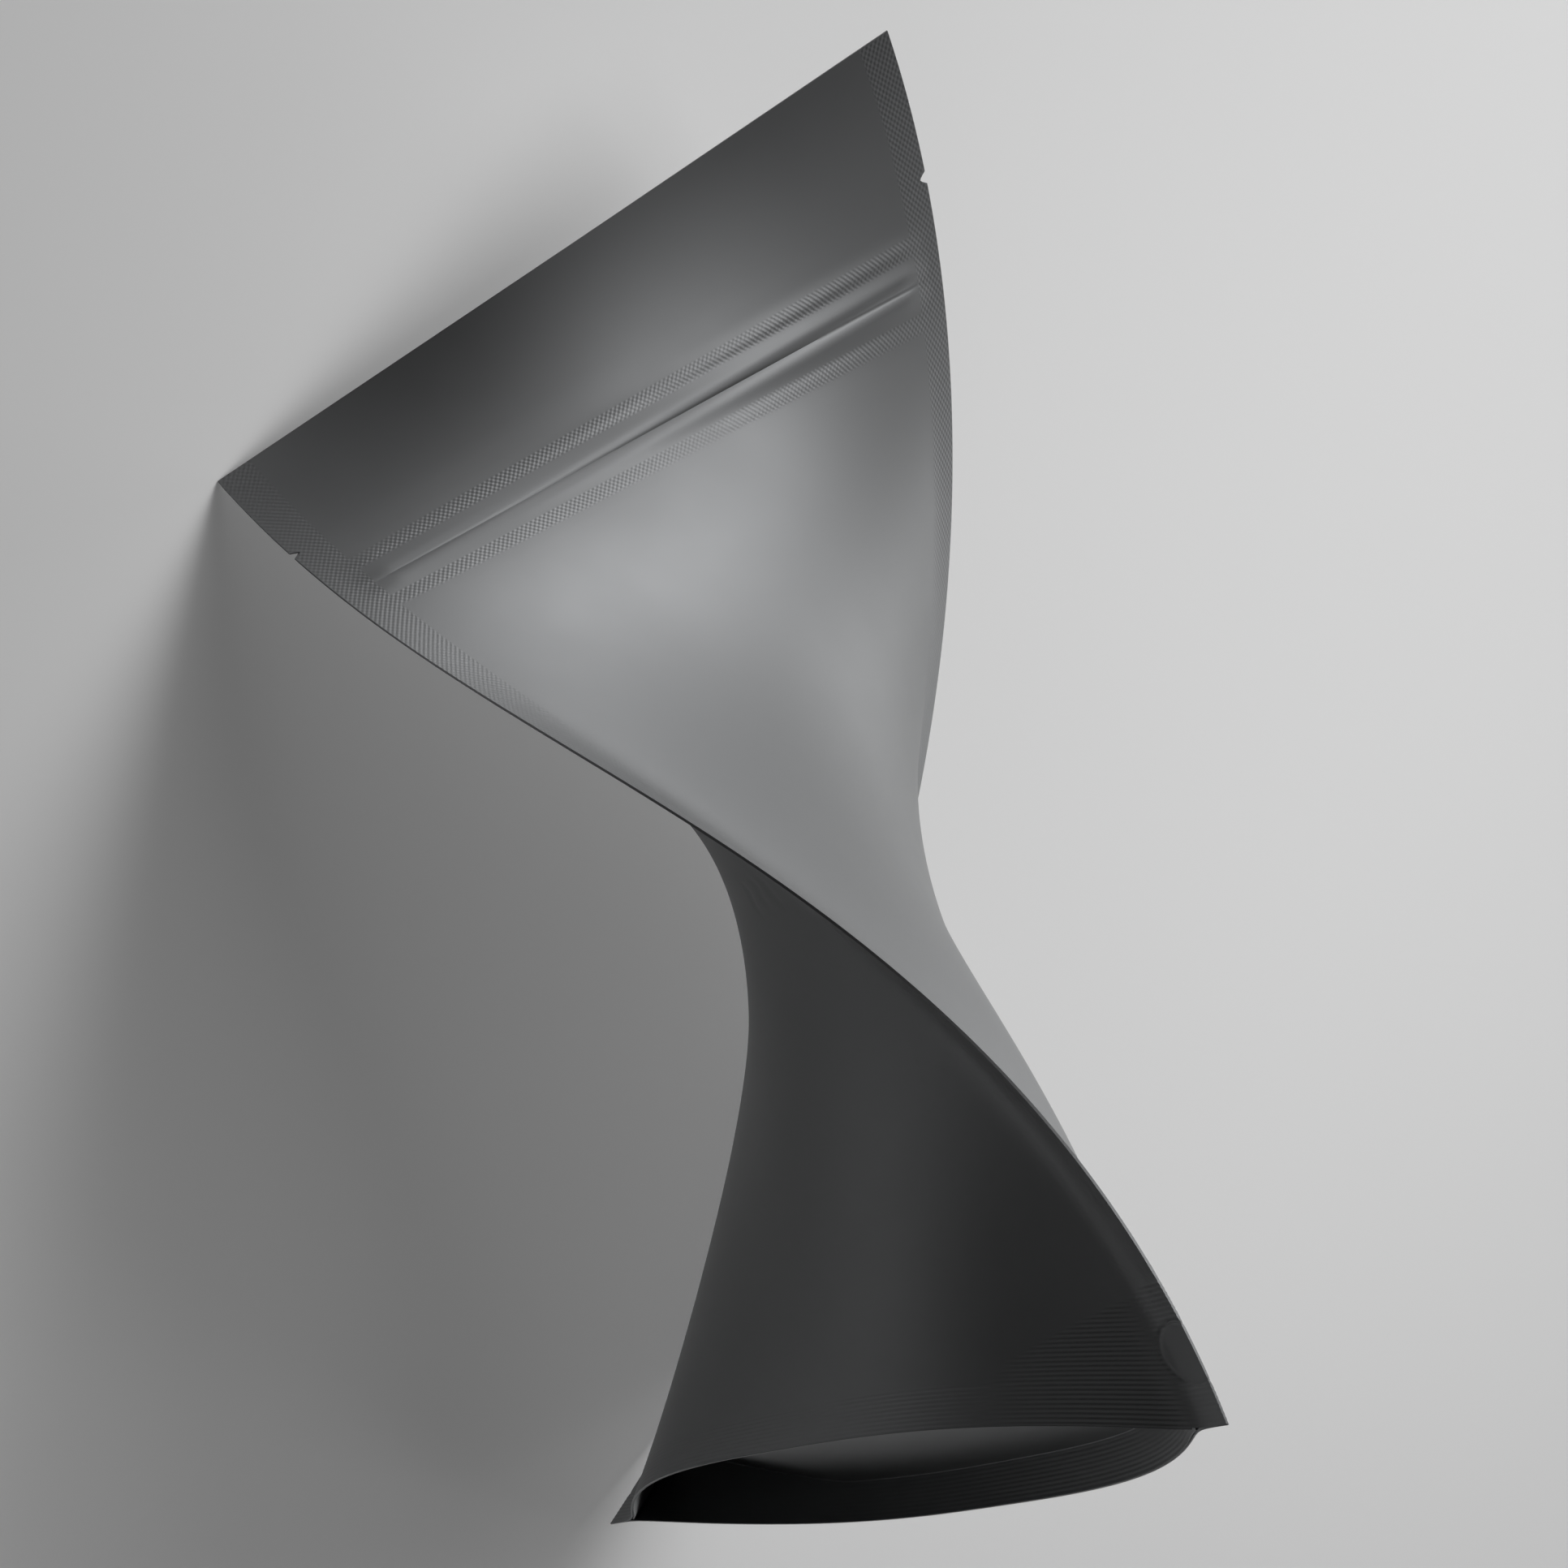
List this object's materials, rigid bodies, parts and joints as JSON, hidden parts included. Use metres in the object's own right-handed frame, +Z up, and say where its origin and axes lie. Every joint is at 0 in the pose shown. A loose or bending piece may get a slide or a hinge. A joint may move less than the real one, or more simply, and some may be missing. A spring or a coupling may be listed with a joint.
{
  "type": "foil pouch",
  "caption": "Stand-up foil laminate pouch with sealed sides, a zip header, tear notches and a bottom gusset, twisted and lying on its side.",
  "frame": {"origin": "centre of the bounding box on the floor that the pouch lies on", "axes": "+Z up, +Y from the open skirt end towards the closed top end, +X to the right of the skirt end seen from behind it"},
  "size_m": [0.1862, 0.291, 0.1609],
  "materials": {
    "foil_laminate": "matte silver-grey film laminate with fine heat-seal knurl"
  },
  "bodies": {
    "root": {"foil_pouch": "foil_laminate"}
  },
  "joints": []
}
